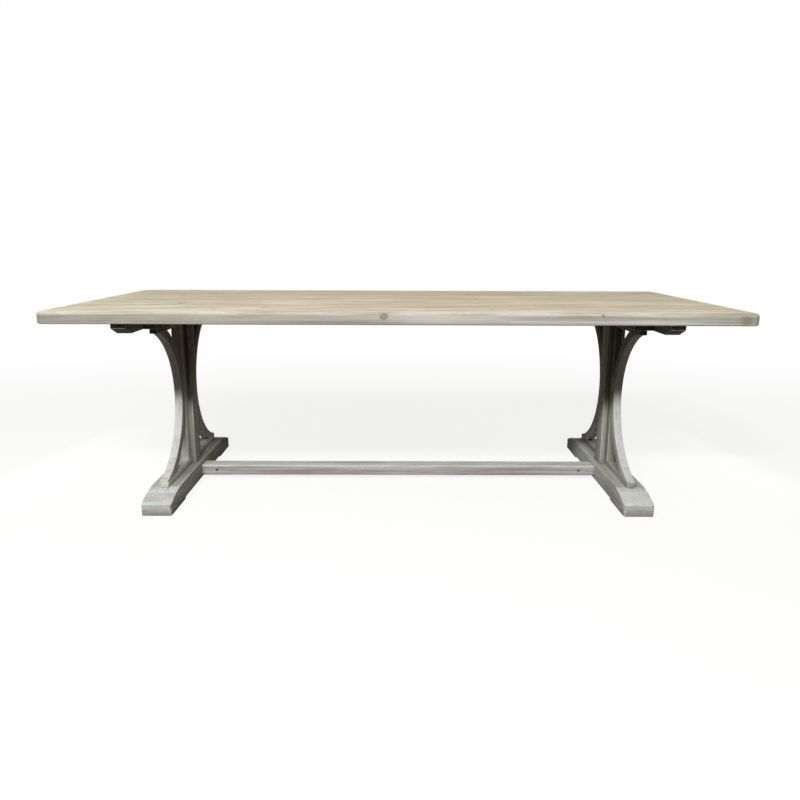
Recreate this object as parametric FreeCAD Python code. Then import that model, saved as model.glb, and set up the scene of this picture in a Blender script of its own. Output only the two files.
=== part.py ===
import FreeCAD, Part
import os

# Trestle dining table in solid timber: a plank top on two hourglass trestles
# tied by one low stretcher. Millimetres, X along the table, Y across it, Z up,
# with the origin on the floor under the middle of the top.
# The front is at minus Y, and left is at minus X.

# Plank top
table_height = 762.0
top_length = 2450.0
top_width = 1000.0
top_thickness = 42.0
board_count = 7
top_corner_radius = 30.0
top_arris_radius = 12.0
under_arris_radius = 6.0
tongue_thickness = 10.0
tongue_width = 24.0
tongue_stop = 60.0

# Cleats across the underside of the top, beside the trestles
cleat_width = 53.0
cleat_length = 954.0
cleat_nose_height = 18.0
cleat_slope_run = 48.0

# Trestles: their distance in from the ends of the top, and timber thicknesses
end_overhang = 333.0
frame_thickness = 30.0
cheek_thickness = 20.0
cheek_width = 70.0
core_depth = 134.0
bearer_height = 40.0
rail_length = 644.0
lower_rail_height = 22.0
upper_rail_height = 17.0

# Tenons of the post core, through the rails into foot and bearer, with a wall of
# wood left between the lower one and the stretcher's bolt
tenon_thickness = 12.0
tenon_width = 90.0
tenon_bolt_wall = 11.0
bearer_tenon_depth = 22.0

# Curved braces
brace_thickness = 37.0
brace_seat = 2.0
brace_rise = 5.0
toe_height = 3.0

# Sledge feet
foot_length = 846.0
foot_width = 111.0
foot_height = 73.0
toe_nose_height = 42.0
toe_run = 86.0
toe_corner_radius = 8.0
pad_length = 163.0
foot_relief = 8.0

# Stretcher with stub tenons, drawn up by a bolt and a barrel nut at each end
stretcher_depth = 64.0
stretcher_height = 42.0
stretcher_lift = 17.0
stub_length = 25.0
stub_depth = 44.0
stub_height = 26.0
bolt_diameter = 8.0
bolt_head_across_flats = 13.0
bolt_head_height = 5.3
bolt_overrun = 12.0
bolt_pocket_play = 2.0
bolt_pocket_depth = 14.0
washer_diameter = 22.0
washer_thickness = 2.0
nut_setback = 65.0
nut_diameter = 11.0
nut_length = 24.0

# Screws and dowels
screw_diameter = 6.0
screw_head_diameter = 12.0
screw_head_height = 4.0
screw_pocket_play = 1.0
rail_screw_sink = 30.0
rail_screw_bite = 15.0
rail_screw_core_gap = 53.0
rail_screw_dowel_gap = 34.0
bearer_screw_sink = 5.0
bearer_screw_bite = 26.0
bearer_screw_spread = 80.0
cleat_screw_sink = 12.0
cleat_screw_bite = 26.0
cleat_screw_margin = 25.0
dowel_diameter = 10.0
waist_dowel_length = 40.0
waist_dowel_spread = 36.0
toe_dowel_length = 26.0
toe_dowel_cover = 5.0

# Sides of the prisms that stand for round fasteners and their holes
shank_sides = 8
head_sides = 12

# Clearance left around tenons, tongues, shanks and dowels
joint_clearance = 0.2

# Levels and places that follow from the sizes above
top_underside = table_height - top_thickness
bearer_underside = top_underside - bearer_height
lower_rail_top = foot_height + lower_rail_height
upper_rail_underside = bearer_underside - upper_rail_height
board_width = top_width / board_count
trestle_offset = top_length / 2 - end_overhang
post_half = frame_thickness / 2 + cheek_thickness
core_half = core_depth / 2
rail_half = rail_length / 2
foot_half = foot_length / 2
foot_inner_face = trestle_offset - foot_width / 2
foot_outer_face = trestle_offset + foot_width / 2
cleat_inner_face = trestle_offset + post_half
cleat_half = cleat_length / 2
bolt_level = stretcher_lift + stretcher_height / 2
nut_place = foot_inner_face - nut_setback
nut_hole_depth = (stretcher_depth + nut_length) / 2
bolt_pocket_diameter = washer_diameter + 2 * bolt_pocket_play
foot_tenon_depth = foot_height - bolt_level - bolt_diameter / 2 - tenon_bolt_wall
waist_level = (lower_rail_top + upper_rail_underside) / 2 + brace_rise

# Hollow arc of the braces, through the waist and the tops of the lower toes, which
# end flush with the rail
brace_waist = core_half - brace_seat + brace_thickness
brace_reach = rail_half - brace_waist
brace_drop = waist_level - lower_rail_top - toe_height
brace_radius = (brace_reach ** 2 + brace_drop ** 2) / (2 * brace_reach)
brace_centre = brace_waist + brace_radius

# Toe dowels stand where even the shallower end of a brace covers them, and the
# screws of the lower rail between them and the post
shallow_end = min(waist_level - lower_rail_top, upper_rail_underside - waist_level)
covered_level = shallow_end - toe_dowel_length / 2 - toe_dowel_cover
covered_place = brace_centre - (brace_radius ** 2 - covered_level ** 2) ** 0.5
toe_dowel_place = covered_place - dowel_diameter / 2
rail_screw_places = (core_half + rail_screw_core_gap, toe_dowel_place - rail_screw_dowel_gap)


def block(x_span, y_span, z_span):
    """Rectangular piece between pairs of coordinates."""
    corner = FreeCAD.Vector(x_span[0], y_span[0], z_span[0])
    return Part.makeBox(x_span[1] - x_span[0], y_span[1] - y_span[0], z_span[1] - z_span[0], corner)


def around(middle, size):
    """Pair of coordinates half a size either side of a middle."""
    return (middle - size / 2, middle + size / 2)


def rod(radius, start, end):
    """Round bar between two points."""
    first = FreeCAD.Vector(*start)
    run = FreeCAD.Vector(*end) - first
    return Part.makeCylinder(radius, run.Length, first, run)


def prism(radius, sides, start, end):
    """Regular bar between two points along one axis, its corners on a radius."""
    first = FreeCAD.Vector(*start)
    run = FreeCAD.Vector(*end) - first
    spoke = FreeCAD.Vector(run.y, run.z, run.x).normalize() * radius
    turns = [FreeCAD.Rotation(run, 360.0 * corner / sides) for corner in range(sides)]
    corners = [first + turn.multVec(spoke) for turn in turns]
    return Part.Face(Part.makePolygon(corners + corners[:1])).extrude(run)


def shank_bar(diameter, start, end):
    """Shank, dowel or bore, hidden in the timber."""
    return prism(diameter / 2, shank_sides, start, end)


def head_bar(diameter, start, end):
    """Head, washer or pocket that shows at a surface."""
    return prism(diameter / 2, head_sides, start, end)


def profiled(points, x_span):
    """Piece with one Y Z outline all along X."""
    corners = [FreeCAD.Vector(x_span[0], y, z) for y, z in points]
    outline = Part.makePolygon(corners + corners[:1])
    return Part.Face(outline).extrude(FreeCAD.Vector(x_span[1] - x_span[0], 0, 0))


def drilled(piece, tools):
    """Piece with each tool cut out of it."""
    for tool in tools:
        piece = piece.cut(tool)
    return piece


def mirrored(piece):
    """The same piece on the other end of the table."""
    return piece.mirror(FreeCAD.Vector(0, 0, 0), FreeCAD.Vector(1, 0, 0))


def wood_screw(x, y, seat, length):
    """Pan head screw driven upward, its head bearing on the seat level."""
    head = head_bar(screw_head_diameter, (x, y, seat - screw_head_height), (x, y, seat))
    shank = shank_bar(screw_diameter, (x, y, seat), (x, y, seat + length))
    return head.fuse(shank).removeSplitter()


def screw_hole(x, y, surface, seat, length):
    """Pocket for a screw's head up to its seat, and the bore for its shank."""
    pocket = head_bar(screw_head_diameter + 2 * screw_pocket_play, (x, y, surface), (x, y, seat))
    bore_end = (x, y, seat + length + joint_clearance)
    bore = shank_bar(screw_diameter + 2 * joint_clearance, (x, y, seat), bore_end)
    return pocket.fuse(bore)


def board_edge(index):
    """Place across the top of a board's near edge, counted from the front."""
    return index * board_width - top_width / 2


def cleat_screw_places():
    """One place across each board that the flat of the cleat reaches, clear of the tongues."""
    reach = cleat_half - cleat_slope_run - cleat_screw_margin
    tongue_margin = tongue_width / 2 + screw_diameter
    places = []
    for index in range(board_count):
        low = max(board_edge(index) + tongue_margin, -reach)
        high = min(board_edge(index + 1) - tongue_margin, reach)
        if low < high:
            places.append((low + high) / 2)
    return places


def bearer_screw_places():
    """Two places in the first board whose middle clears the post core."""
    middles = [board_edge(index) + board_width / 2 for index in range(board_count)]
    return around(min(y for y in middles if y > core_half), bearer_screw_spread)


# Fastener places on the right trestle, as (x, y) pairs
cleat_screw_line = cleat_inner_face + cleat_width / 2
cleat_screw_spots = [(cleat_screw_line, y) for y in cleat_screw_places()]
rail_screw_spots = [(trestle_offset, side * y) for side in (-1, 1) for y in rail_screw_places]
bearer_screw_spots = [(trestle_offset, side * y) for side in (-1, 1) for y in bearer_screw_places()]

# Seat level and shank length of each kind of screw
rail_screw_seat = foot_relief + rail_screw_sink
rail_screw_length = foot_height + rail_screw_bite - rail_screw_seat
bearer_screw_seat = upper_rail_underside + bearer_screw_sink
bearer_screw_length = top_underside + bearer_screw_bite - bearer_screw_seat
cleat_screw_seat = bearer_underside + cleat_screw_sink
cleat_screw_length = top_underside + cleat_screw_bite - cleat_screw_seat

rail_screw_holes = [
    screw_hole(x, y, 0.0, rail_screw_seat, rail_screw_length) for x, y in rail_screw_spots
]
bearer_screw_holes = [
    screw_hole(x, y, upper_rail_underside, bearer_screw_seat, bearer_screw_length)
    for x, y in bearer_screw_spots
]
cleat_screw_holes = [
    screw_hole(x, y, bearer_underside, cleat_screw_seat, cleat_screw_length)
    for x, y in cleat_screw_spots
]


def tongue(joint_y, clearance):
    """Loose tongue across one joint of the top, or its groove with clearance."""
    length = top_length - 2 * tongue_stop + 2 * clearance
    level = table_height - top_thickness / 2
    return block(
        around(0.0, length),
        around(joint_y, tongue_width + 2 * clearance),
        around(level, tongue_thickness + 2 * clearance),
    )


def top_board(index):
    """One plank, its outer edges and corners rounded, grooved where it meets the next."""
    near = board_edge(index)
    far = board_edge(index + 1)
    board = block(around(0.0, top_length), (near, far), (top_underside, table_height))
    joints = [y for y in (near, far) if abs(y) < top_width / 2 - board_width / 2]
    corners = [
        edge
        for edge in board.Edges
        if edge.BoundBox.ZLength > top_thickness / 2
        and all(abs(edge.CenterOfMass.y - y) > board_width / 2 for y in joints)
    ]
    if corners:
        board = board.makeFillet(top_corner_radius, corners)
    for level, radius in ((table_height, top_arris_radius), (top_underside, under_arris_radius)):
        rim = [
            edge
            for edge in board.Edges
            if abs(edge.CenterOfMass.z - level) < joint_clearance
            and all(abs(edge.CenterOfMass.y - y) > top_arris_radius for y in joints)
        ]
        board = board.makeFillet(radius, rim)
    board = drilled(board, [tongue(y, joint_clearance) for y in joints])
    screw_holes = cleat_screw_holes + bearer_screw_holes
    return drilled(board, screw_holes + [mirrored(hole) for hole in screw_holes])


def top_cleat():
    """Batten under the boards against the bearer's outer face, both ends sloped below."""
    flat_end = cleat_half - cleat_slope_run
    nose = top_underside - cleat_nose_height
    outline = [
        (-cleat_half, top_underside),
        (-cleat_half, nose),
        (-flat_end, bearer_underside),
        (flat_end, bearer_underside),
        (cleat_half, nose),
        (cleat_half, top_underside),
    ]
    blank = profiled(outline, (cleat_inner_face, cleat_inner_face + cleat_width))
    return drilled(blank, cleat_screw_holes)


def core_tenons(clearance):
    """The two tenons of the post core, or their mortises with clearance."""
    x_span = around(trestle_offset, tenon_thickness + 2 * clearance)
    y_span = around(0.0, tenon_width + 2 * clearance)
    lower = block(x_span, y_span, (foot_height - foot_tenon_depth - clearance, lower_rail_top))
    upper = block(x_span, y_span, (upper_rail_underside, bearer_underside + bearer_tenon_depth + clearance))
    return [lower, upper]


def bearer():
    """Flat bar that carries the top, as wide as the post."""
    blank = block(
        around(trestle_offset, 2 * post_half),
        (-rail_half, rail_half),
        (bearer_underside, top_underside),
    )
    return drilled(blank, core_tenons(joint_clearance) + bearer_screw_holes)


def upper_rail():
    """Narrow rail under the bearer that takes the heads of the braces."""
    blank = block(
        around(trestle_offset, frame_thickness),
        (-rail_half, rail_half),
        (upper_rail_underside, bearer_underside),
    )
    return drilled(blank, core_tenons(joint_clearance) + bearer_screw_holes + toe_dowels(joint_clearance))


def lower_rail():
    """Narrow rail on the foot that takes the toes of the braces."""
    blank = block(
        around(trestle_offset, frame_thickness),
        (-rail_half, rail_half),
        (foot_height, lower_rail_top),
    )
    return drilled(blank, core_tenons(joint_clearance) + rail_screw_holes + toe_dowels(joint_clearance))


def toe_dowels(clearance):
    """Upright dowels from each rail into the ends of both braces."""
    reach = toe_dowel_length / 2 + clearance
    dowels = []
    for side in (-1, 1):
        for level in (lower_rail_top, upper_rail_underside):
            start = (trestle_offset, side * toe_dowel_place, level - reach)
            end = (trestle_offset, side * toe_dowel_place, level + reach)
            dowels.append(shank_bar(dowel_diameter + 2 * clearance, start, end))
    return dowels


def waist_dowels(clearance):
    """Level dowels from the post core into the waist of both braces."""
    reach = waist_dowel_length / 2 + clearance
    dowels = []
    for side in (-1, 1):
        for level in around(waist_level, waist_dowel_spread):
            start = (trestle_offset, side * core_half - reach, level)
            end = (trestle_offset, side * core_half + reach, level)
            dowels.append(shank_bar(dowel_diameter + 2 * clearance, start, end))
    return dowels


def brace(side):
    """Curved brace: a strip between two arcs about one centre, seated flat on the
    post core at its waist and on both rails at its ends."""
    x_span = around(trestle_offset, frame_thickness)
    start = (x_span[0], side * brace_centre, waist_level)
    end = (x_span[1], side * brace_centre, waist_level)
    strip = rod(brace_radius + brace_thickness, start, end).cut(rod(brace_radius, start, end))
    y_span = sorted((side * core_half, side * rail_half))
    blank = block(x_span, y_span, (lower_rail_top, upper_rail_underside)).common(strip)
    return drilled(blank, toe_dowels(joint_clearance) + waist_dowels(joint_clearance))


def post_core():
    """Middle board of the post, tenoned through both rails."""
    blank = block(
        around(trestle_offset, frame_thickness),
        (-core_half, core_half),
        (lower_rail_top, upper_rail_underside),
    )
    blank = drilled(blank, waist_dowels(joint_clearance))
    for tenon in core_tenons(0.0):
        blank = blank.fuse(tenon)
    return blank.removeSplitter()


def post_cheek(side):
    """Board on one flat of the core, from the foot to the bearer across both rails."""
    x_span = sorted((trestle_offset + side * frame_thickness / 2, trestle_offset + side * post_half))
    return block(x_span, around(0.0, cheek_width), (foot_height, bearer_underside))


def foot():
    """Sledge foot: sloped toes with rounded corners, a pad under each end."""
    crest = foot_half - toe_run
    pad_start = foot_half - pad_length
    relief_end = pad_start - foot_relief
    outline = [
        (-foot_half, 0.0),
        (-foot_half, toe_nose_height),
        (-crest, foot_height),
        (crest, foot_height),
        (foot_half, toe_nose_height),
        (foot_half, 0.0),
        (pad_start, 0.0),
        (relief_end, foot_relief),
        (-relief_end, foot_relief),
        (-pad_start, 0.0),
    ]
    blank = profiled(outline, (foot_inner_face, foot_outer_face))
    toe_corners = [
        edge
        for edge in blank.Edges
        if abs(edge.CenterOfMass.y) > crest + toe_run / 2
        and edge.BoundBox.ZLength > toe_nose_height / 2
        and edge.BoundBox.YLength < toe_run / 2
    ]
    blank = blank.makeFillet(toe_corner_radius, toe_corners)
    stub_mortise = stretcher_stub(joint_clearance)
    return drilled(blank, core_tenons(joint_clearance) + rail_screw_holes + [stub_mortise] + bolt_holes())


def stretcher_stub(clearance):
    """Stub tenon on the stretcher's right end, or its mortise with clearance."""
    return block(
        (foot_inner_face, foot_inner_face + stub_length + clearance),
        around(0.0, stub_depth + 2 * clearance),
        around(bolt_level, stub_height + 2 * clearance),
    )


def bolt_holes():
    """Pocket in the foot's outer face and the bore from there past the barrel nut."""
    mouth = (foot_outer_face, 0.0, bolt_level)
    pocket_floor = (foot_outer_face - bolt_pocket_depth, 0.0, bolt_level)
    bore_end = (nut_place - bolt_overrun - joint_clearance, 0.0, bolt_level)
    pocket = head_bar(bolt_pocket_diameter, pocket_floor, mouth)
    bore = shank_bar(bolt_diameter + 2 * joint_clearance, bore_end, pocket_floor)
    return [pocket, bore]


def barrel_nut_hole():
    """Hole in the stretcher's front face for the barrel nut."""
    front = -stretcher_depth / 2
    mouth = (nut_place, front, bolt_level)
    floor = (nut_place, front + nut_hole_depth, bolt_level)
    return head_bar(nut_diameter + 2 * joint_clearance, mouth, floor)


def stretcher():
    """Flat bar between the feet with a stub tenon at each end."""
    bar = block(
        (-foot_inner_face, foot_inner_face),
        around(0.0, stretcher_depth),
        (stretcher_lift, stretcher_lift + stretcher_height),
    )
    stub = stretcher_stub(0.0)
    bar = bar.fuse(stub).fuse(mirrored(stub)).removeSplitter()
    right_holes = bolt_holes() + [barrel_nut_hole()]
    return drilled(bar, right_holes + [mirrored(hole) for hole in right_holes])


def stretcher_bolt():
    """Hexagon bolt through the foot and into the barrel nut."""
    seat = foot_outer_face - bolt_pocket_depth + washer_thickness
    under_head = (seat, 0.0, bolt_level)
    shank = shank_bar(bolt_diameter, (nut_place - bolt_overrun, 0.0, bolt_level), under_head)
    corner_radius = bolt_head_across_flats / 3 ** 0.5
    head = prism(corner_radius, 6, under_head, (seat + bolt_head_height, 0.0, bolt_level))
    return shank.fuse(head).removeSplitter()


def stretcher_washer():
    """Washer under the bolt's head, on the floor of the pocket."""
    floor = foot_outer_face - bolt_pocket_depth
    start = (floor, 0.0, bolt_level)
    end = (floor + washer_thickness, 0.0, bolt_level)
    disc = head_bar(washer_diameter, start, end)
    return disc.cut(shank_bar(bolt_diameter + 2 * joint_clearance, start, end))


def barrel_nut():
    """Round cross nut that the bolt pulls on, centred on the bolt."""
    reach = nut_length / 2
    barrel = head_bar(nut_diameter, (nut_place, -reach, bolt_level), (nut_place, reach, bolt_level))
    bore = shank_bar(
        bolt_diameter + 2 * joint_clearance,
        (nut_place - nut_diameter, 0.0, bolt_level),
        (nut_place + nut_diameter, 0.0, bolt_level),
    )
    return barrel.cut(bore)


def both_ends(name, piece):
    """The right piece and its mirror image on the left, under their own names."""
    return {"right_" + name: piece, "left_" + name: mirrored(piece)}


def both_ends_group(pieces):
    """Like fasteners of both ends as one group of separate solids."""
    return Part.makeCompound(pieces + [mirrored(piece) for piece in pieces])


nodes = {}
for number in range(board_count):
    nodes["top_board_%d" % (number + 1)] = top_board(number)
for number in range(1, board_count):
    nodes["top_tongue_%d" % number] = tongue(board_edge(number), 0.0)
nodes.update(both_ends("top_cleat", top_cleat()))
nodes.update(both_ends("bearer", bearer()))
nodes.update(both_ends("upper_rail", upper_rail()))
nodes.update(both_ends("post_core", post_core()))
nodes.update(both_ends("inner_post_cheek", post_cheek(-1)))
nodes.update(both_ends("outer_post_cheek", post_cheek(1)))
nodes.update(both_ends("front_brace", brace(-1)))
nodes.update(both_ends("rear_brace", brace(1)))
nodes.update(both_ends("lower_rail", lower_rail()))
nodes.update(both_ends("foot", foot()))
nodes["stretcher"] = stretcher()

rail_screws = [wood_screw(x, y, rail_screw_seat, rail_screw_length) for x, y in rail_screw_spots]
bearer_screws = [wood_screw(x, y, bearer_screw_seat, bearer_screw_length) for x, y in bearer_screw_spots]
cleat_screws = [wood_screw(x, y, cleat_screw_seat, cleat_screw_length) for x, y in cleat_screw_spots]
nodes.update(both_ends("rail_screws", Part.makeCompound(rail_screws)))
nodes.update(both_ends("bearer_screws", Part.makeCompound(bearer_screws)))
nodes.update(both_ends("cleat_screws", Part.makeCompound(cleat_screws)))
nodes.update(both_ends("brace_dowels", Part.makeCompound(toe_dowels(0.0) + waist_dowels(0.0))))
nodes["stretcher_bolts"] = both_ends_group([stretcher_bolt()])
nodes["stretcher_washers"] = both_ends_group([stretcher_washer()])
nodes["stretcher_barrel_nuts"] = both_ends_group([barrel_nut()])

os.makedirs("parts", exist_ok=True)
for name, shape in nodes.items():
    shape.exportStep("parts/%s.step" % name)
print(len(nodes), "pieces written")
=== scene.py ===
import bpy
import bmesh
import math
from mathutils import Euler, Matrix, Vector


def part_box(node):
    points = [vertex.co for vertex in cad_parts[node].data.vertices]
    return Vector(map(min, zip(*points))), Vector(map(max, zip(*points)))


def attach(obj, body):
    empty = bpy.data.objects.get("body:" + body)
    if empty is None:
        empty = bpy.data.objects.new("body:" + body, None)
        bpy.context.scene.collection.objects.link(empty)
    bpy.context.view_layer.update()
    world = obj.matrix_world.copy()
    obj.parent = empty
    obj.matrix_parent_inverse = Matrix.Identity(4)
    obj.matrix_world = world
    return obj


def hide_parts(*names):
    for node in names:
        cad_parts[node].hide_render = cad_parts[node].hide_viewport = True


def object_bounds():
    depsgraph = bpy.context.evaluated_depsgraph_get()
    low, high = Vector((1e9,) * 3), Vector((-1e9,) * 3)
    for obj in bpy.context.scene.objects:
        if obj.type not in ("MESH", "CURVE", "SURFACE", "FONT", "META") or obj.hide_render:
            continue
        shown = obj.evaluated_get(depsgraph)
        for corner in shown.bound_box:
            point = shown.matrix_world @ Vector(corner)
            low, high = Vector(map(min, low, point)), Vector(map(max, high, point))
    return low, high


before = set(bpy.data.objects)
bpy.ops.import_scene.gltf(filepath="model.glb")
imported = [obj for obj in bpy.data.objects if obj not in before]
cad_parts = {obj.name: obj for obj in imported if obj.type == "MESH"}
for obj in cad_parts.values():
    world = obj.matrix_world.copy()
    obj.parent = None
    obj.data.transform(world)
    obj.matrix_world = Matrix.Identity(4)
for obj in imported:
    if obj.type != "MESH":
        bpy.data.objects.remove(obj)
cad_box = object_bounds()


# Sledge feet
# One long foot of squared timber under each trestle, sawn with sloped toes and hollowed below
# so that only a pad at each end meets the floor. Limewashed grey, its arrises worn round.
def worn_copy(node, slot, *rounds):
    """Clean copy of a CAD piece, shown in its place, its chosen edges rounded to their widths."""
    same_point = 0.00001
    flat_angle = math.radians(0.4)
    edge_angle = math.radians(18.0)
    smooth_angle = math.radians(32.0)
    piece = bpy.data.objects.new("worn_" + node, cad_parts[node].data.copy())
    bpy.context.scene.collection.objects.link(piece)
    bpy.ops.object.select_all(action="DESELECT")
    bpy.context.view_layer.objects.active = piece
    piece.select_set(True)
    # Two empty slots: the bevels leave their new faces in the second one.
    piece.data.materials.clear()
    piece.data.materials.append(None)
    piece.data.materials.append(None)
    bpy.ops.mesh.customdata_custom_splitnormals_clear()
    bpy.ops.object.mode_set(mode="EDIT")
    bpy.ops.mesh.select_mode(type="EDGE")
    bpy.ops.mesh.select_all(action="SELECT")
    bpy.ops.mesh.remove_doubles(threshold=same_point)
    bpy.ops.mesh.dissolve_limited(angle_limit=flat_angle)
    for width, chosen in rounds:
        bpy.ops.mesh.select_all(action="DESELECT")
        for edge in bmesh.from_edit_mesh(piece.data).edges:
            sharp = edge.is_manifold and edge.calc_face_angle() > edge_angle
            if sharp and chosen(edge.verts[0].co, edge.verts[1].co):
                edge.select_set(True)
        bpy.ops.mesh.bevel(
            offset=width, offset_type="OFFSET", segments=3, profile=0.5, affect="EDGES",
            clamp_overlap=True, material=1,
        )
    bpy.ops.mesh.select_all(action="SELECT")
    bpy.ops.mesh.remove_doubles(threshold=same_point)
    bpy.ops.mesh.dissolve_degenerate(threshold=same_point)
    bpy.ops.object.mode_set(mode="OBJECT")
    # Faces of the second slot are the rubbed ones. All then share the first.
    rub = piece.data.attributes.new("rub", "FLOAT", "FACE")
    for mark, face in zip(rub.data, piece.data.polygons):
        mark.value = face.material_index
        face.material_index = 0
    bpy.ops.object.shade_smooth_by_angle(angle=smooth_angle)
    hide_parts(node)
    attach(piece, "root")
    return piece


def on_level(a, b, axis, level):
    """Both ends of an edge lie on one level of an axis."""
    near = 0.0002
    return abs(a[axis] - level) < near and abs(b[axis] - level) < near


def on_flank(a, b, low, high):
    """An edge on either flank of a piece that stands across the table."""
    return on_level(a, b, 0, low[0]) or on_level(a, b, 0, high[0])


def wire(tree, socket, value):
    """Joins a socket to another one, or gives it a value."""
    if isinstance(value, bpy.types.NodeSocket):
        tree.links.new(value, socket)
    else:
        socket.default_value = value


def number(tree, operation, a, b=0.0, clamp=False):
    """A number worked out from one or two others."""
    node = tree.nodes.new("ShaderNodeMath")
    node.operation = operation
    node.use_clamp = clamp
    wire(tree, node.inputs[0], a)
    wire(tree, node.inputs[1], b)
    return node.outputs[0]


def vector(tree, operation, a, b=(0.0, 0.0, 0.0)):
    """A vector, or its length, worked out from one or two others."""
    node = tree.nodes.new("ShaderNodeVectorMath")
    node.operation = operation
    wire(tree, node.inputs[0], a)
    wire(tree, node.inputs[1], b)
    return node.outputs["Value" if operation == "LENGTH" else "Vector"]


def noise(tree, place, stretch, detail=2.0, roughness=0.5):
    """Soft noise, with its number of changes in a metre along each axis."""
    node = tree.nodes.new("ShaderNodeTexNoise")
    node.inputs["Scale"].default_value = 1.0
    node.inputs["Detail"].default_value = detail
    node.inputs["Roughness"].default_value = roughness
    wire(tree, node.inputs["Vector"], vector(tree, "MULTIPLY", place, stretch))
    return node


def fade(tree, value, start, end, first=0.0, last=1.0):
    """Smooth change from a first to a last value as the input goes from start to end."""
    node = tree.nodes.new("ShaderNodeMapRange")
    node.interpolation_type = "SMOOTHSTEP"
    labels = ("Value", "From Min", "From Max", "To Min", "To Max")
    for label, setting in zip(labels, (value, start, end, first, last)):
        wire(tree, node.inputs[label], setting)
    return node.outputs["Result"]


def blend(tree, share, under, over, kind="MIX"):
    """A share of one colour over another. The colours of a mix node are sockets 6 and 7."""
    node = tree.nodes.new("ShaderNodeMix")
    node.data_type = "RGBA"
    node.blend_type = kind
    wire(tree, node.inputs[0], share)
    wire(tree, node.inputs[6], under)
    wire(tree, node.inputs[7], over)
    return node.outputs[2]


def node_group(name, inputs, outputs):
    """Empty shader group with named sockets, and the sockets of its two ends."""
    group = bpy.data.node_groups.new(name, "ShaderNodeTree")
    for label, kind in inputs:
        group.interface.new_socket(name=label, in_out="INPUT", socket_type="NodeSocket" + kind)
    for label, kind in outputs:
        group.interface.new_socket(name=label, in_out="OUTPUT", socket_type="NodeSocket" + kind)
    return group, group.nodes.new("NodeGroupInput").outputs, group.nodes.new("NodeGroupOutput").inputs


def use_group(tree, group, settings):
    """A group's node in a tree, with its inputs joined or set."""
    node = tree.nodes.new("ShaderNodeGroup")
    node.node_tree = group
    for label, value in settings.items():
        wire(tree, node.inputs[label], value)
    return node.outputs


def axes(tree, value):
    """The X, Y and Z of a vector."""
    node = tree.nodes.new("ShaderNodeSeparateXYZ")
    wire(tree, node.inputs["Vector"], value)
    return node.outputs


def outward(tree):
    """The X, Y and Z of the way that the surface faces."""
    return axes(tree, tree.nodes.new("ShaderNodeTexCoord").outputs["Normal"])


# Limewashed timber, sawn from a log whose heart runs along X: growth rings, fibres, knots and
# drying splits under a thin wash that stays in the pores and wears off in patches.
timber, given, made = node_group(
    "limed_timber",
    [("Vector", "Vector"), ("Heart", "Vector"), ("Ring Width", "Float"), ("Streak", "Vector"),
     ("Fibre", "Float"), ("Pale Wood", "Color"), ("Deep Wood", "Color"), ("Wash", "Color"),
     ("Cover", "Float"), ("Patchiness", "Float"), ("Rings", "Float")],
    [("Colour", "Color"), ("Roughness", "Float"), ("Height", "Float")],
)
sway = noise(timber, given["Vector"], (0.7, 2.0, 2.0)).outputs["Color"]
sway = vector(timber, "SUBTRACT", sway, (0.5, 0.5, 0.5))
grain = vector(timber, "ADD", given["Vector"], vector(timber, "MULTIPLY", sway, (0.0, 0.025, 0.025)))
ripple = noise(timber, given["Vector"], (3.5, 14.0, 14.0)).outputs["Color"]
ripple = vector(timber, "SUBTRACT", ripple, (0.5, 0.5, 0.5))
grain = vector(timber, "ADD", grain, vector(timber, "MULTIPLY", ripple, (0.0, 0.008, 0.008)))

knot_spacing = (1.9, 6.0, 6.0)
cells = timber.nodes.new("ShaderNodeTexVoronoi")
cells.inputs["Scale"].default_value = 1.0
spaced = vector(timber, "MULTIPLY", grain, knot_spacing)
wire(timber, cells.inputs["Vector"], spaced)
away = vector(timber, "DIVIDE", vector(timber, "SUBTRACT", spaced, cells.outputs["Position"]), knot_spacing)
kept = timber.nodes.new("ShaderNodeSeparateColor")
wire(timber, kept.inputs["Color"], cells.outputs["Color"])
kept = number(timber, "GREATER_THAN", kept.outputs["Red"], 0.45)
knot_reach = vector(timber, "LENGTH", vector(timber, "MULTIPLY", away, (42.0, 68.0, 68.0)))
knot = number(timber, "MULTIPLY", fade(timber, knot_reach, 0.72, 1.0, 1.0, 0.0), kept)
swirl_reach = vector(timber, "LENGTH", vector(timber, "MULTIPLY", away, (9.0, 26.0, 26.0)))
swirl = number(timber, "MULTIPLY", fade(timber, swirl_reach, 0.0, 1.0, 1.0, 0.0), kept)

from_heart = vector(timber, "MULTIPLY", vector(timber, "SUBTRACT", grain, given["Heart"]), (0.0, 1.0, 1.0))
depth = vector(timber, "LENGTH", from_heart)
depth = number(timber, "ADD", depth, number(timber, "MULTIPLY", swirl, 0.02))
uneven = noise(timber, grain, (0.4, 6.0, 6.0)).outputs["Fac"]
years = number(timber, "DIVIDE", depth, given["Ring Width"])
year = number(timber, "FRACT", number(timber, "ADD", years, number(timber, "MULTIPLY", uneven, 4.0)))
late = number(timber, "MULTIPLY", fade(timber, year, 0.35, 0.9), fade(timber, year, 0.93, 1.0, 1.0, 0.0))

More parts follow.
